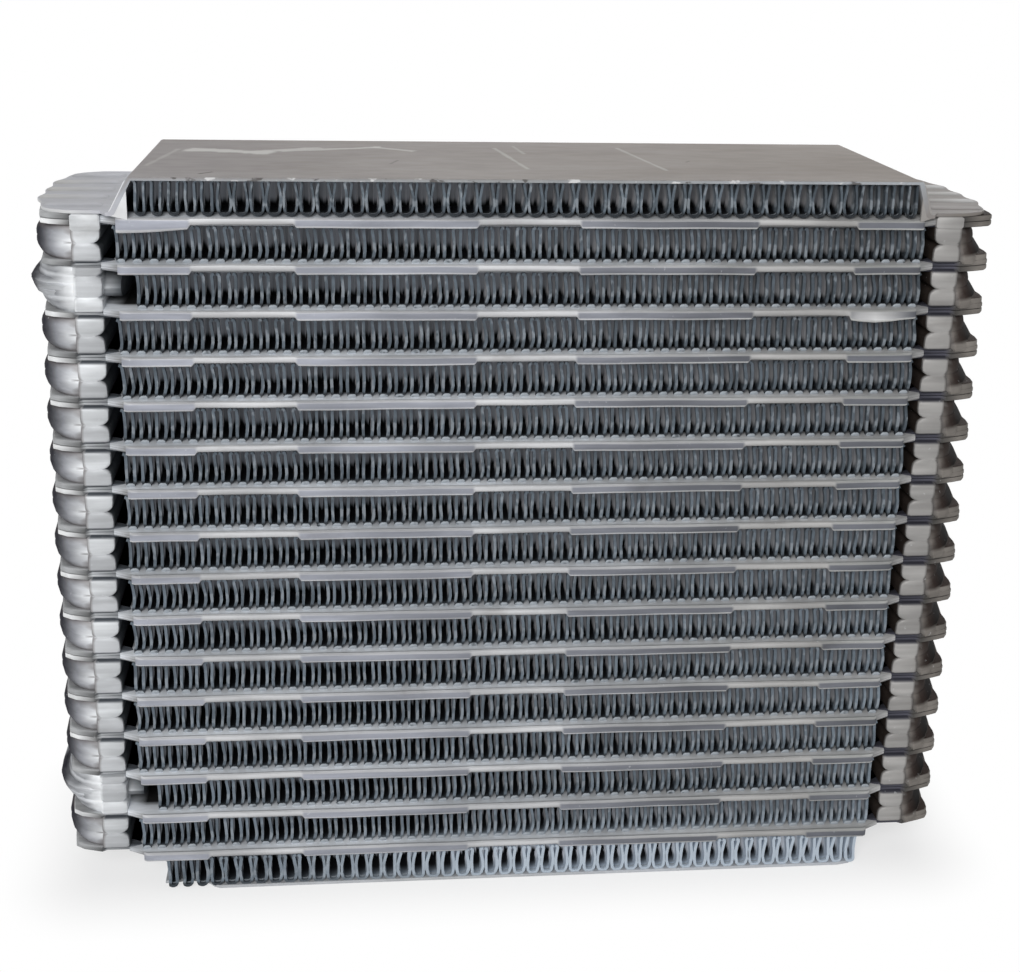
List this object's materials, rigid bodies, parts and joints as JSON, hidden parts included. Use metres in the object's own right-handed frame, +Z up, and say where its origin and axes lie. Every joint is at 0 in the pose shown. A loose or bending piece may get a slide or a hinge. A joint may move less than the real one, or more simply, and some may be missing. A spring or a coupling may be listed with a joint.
{
  "type": "evaporator core",
  "caption": "Stacked-plate evaporator core: folded fins between flat tubes, drawn-cup tanks at both ends, stepped and ribbed top end plate, flat bottom end plate.",
  "frame": {"origin": "middle of the core, on the underside of the bottom end plate", "axes": "+X along the tubes, to the right seen from the front; +Y to the rear, along the air flow; +Z up, from the bottom end plate to the top end plate"},
  "size_m": [0.242, 0.065, 0.1924],
  "materials": {
    "fin": "thin bare sheet, dull",
    "tube_plate": "bare pressed sheet, satin after brazing",
    "end_plate": "bare pressed sheet, satin with dry stains",
    "port_block": "bare, satin"
  },
  "bodies": {
    "root": {"bottom_end_plate": "end_plate", "fin_01": "fin", "fin_02": "fin", "fin_03": "fin", "fin_04": "fin", "fin_05": "fin", "fin_06": "fin", "fin_07": "fin", "fin_08": "fin", "fin_09": "fin", "fin_10": "fin", "fin_11": "fin", "fin_12": "fin", "fin_13": "fin", "fin_14": "fin", "fin_15": "fin", "fin_16": "fin", "fin_17": "fin", "port_block_lower": "port_block", "port_block_upper": "port_block", "top_end_plate": "end_plate", "tube_01_lower_plate": "tube_plate", "tube_01_upper_plate": "tube_plate", "tube_02_lower_plate": "tube_plate", "tube_02_upper_plate": "tube_plate", "tube_03_lower_plate": "tube_plate", "tube_03_upper_plate": "tube_plate", "tube_04_lower_plate": "tube_plate", "tube_04_upper_plate": "tube_plate", "tube_05_lower_plate": "tube_plate", "tube_05_upper_plate": "tube_plate", "tube_06_lower_plate": "tube_plate", "tube_06_upper_plate": "tube_plate", "tube_07_lower_plate": "tube_plate", "tube_07_upper_plate": "tube_plate", "tube_08_lower_plate": "tube_plate", "tube_08_upper_plate": "tube_plate", "tube_09_lower_plate": "tube_plate", "tube_09_upper_plate": "tube_plate", "tube_10_lower_plate": "tube_plate", "tube_10_upper_plate": "tube_plate", "tube_11_lower_plate": "tube_plate", "tube_11_upper_plate": "tube_plate", "tube_12_lower_plate": "tube_plate", "tube_12_upper_plate": "tube_plate", "tube_13_lower_plate": "tube_plate", "tube_13_upper_plate": "tube_plate", "tube_14_lower_plate": "tube_plate", "tube_14_upper_plate": "tube_plate", "tube_15_lower_plate": "tube_plate", "tube_15_upper_plate": "tube_plate", "tube_16_lower_plate": "tube_plate", "tube_16_upper_plate": "tube_plate"}
  },
  "joints": []
}
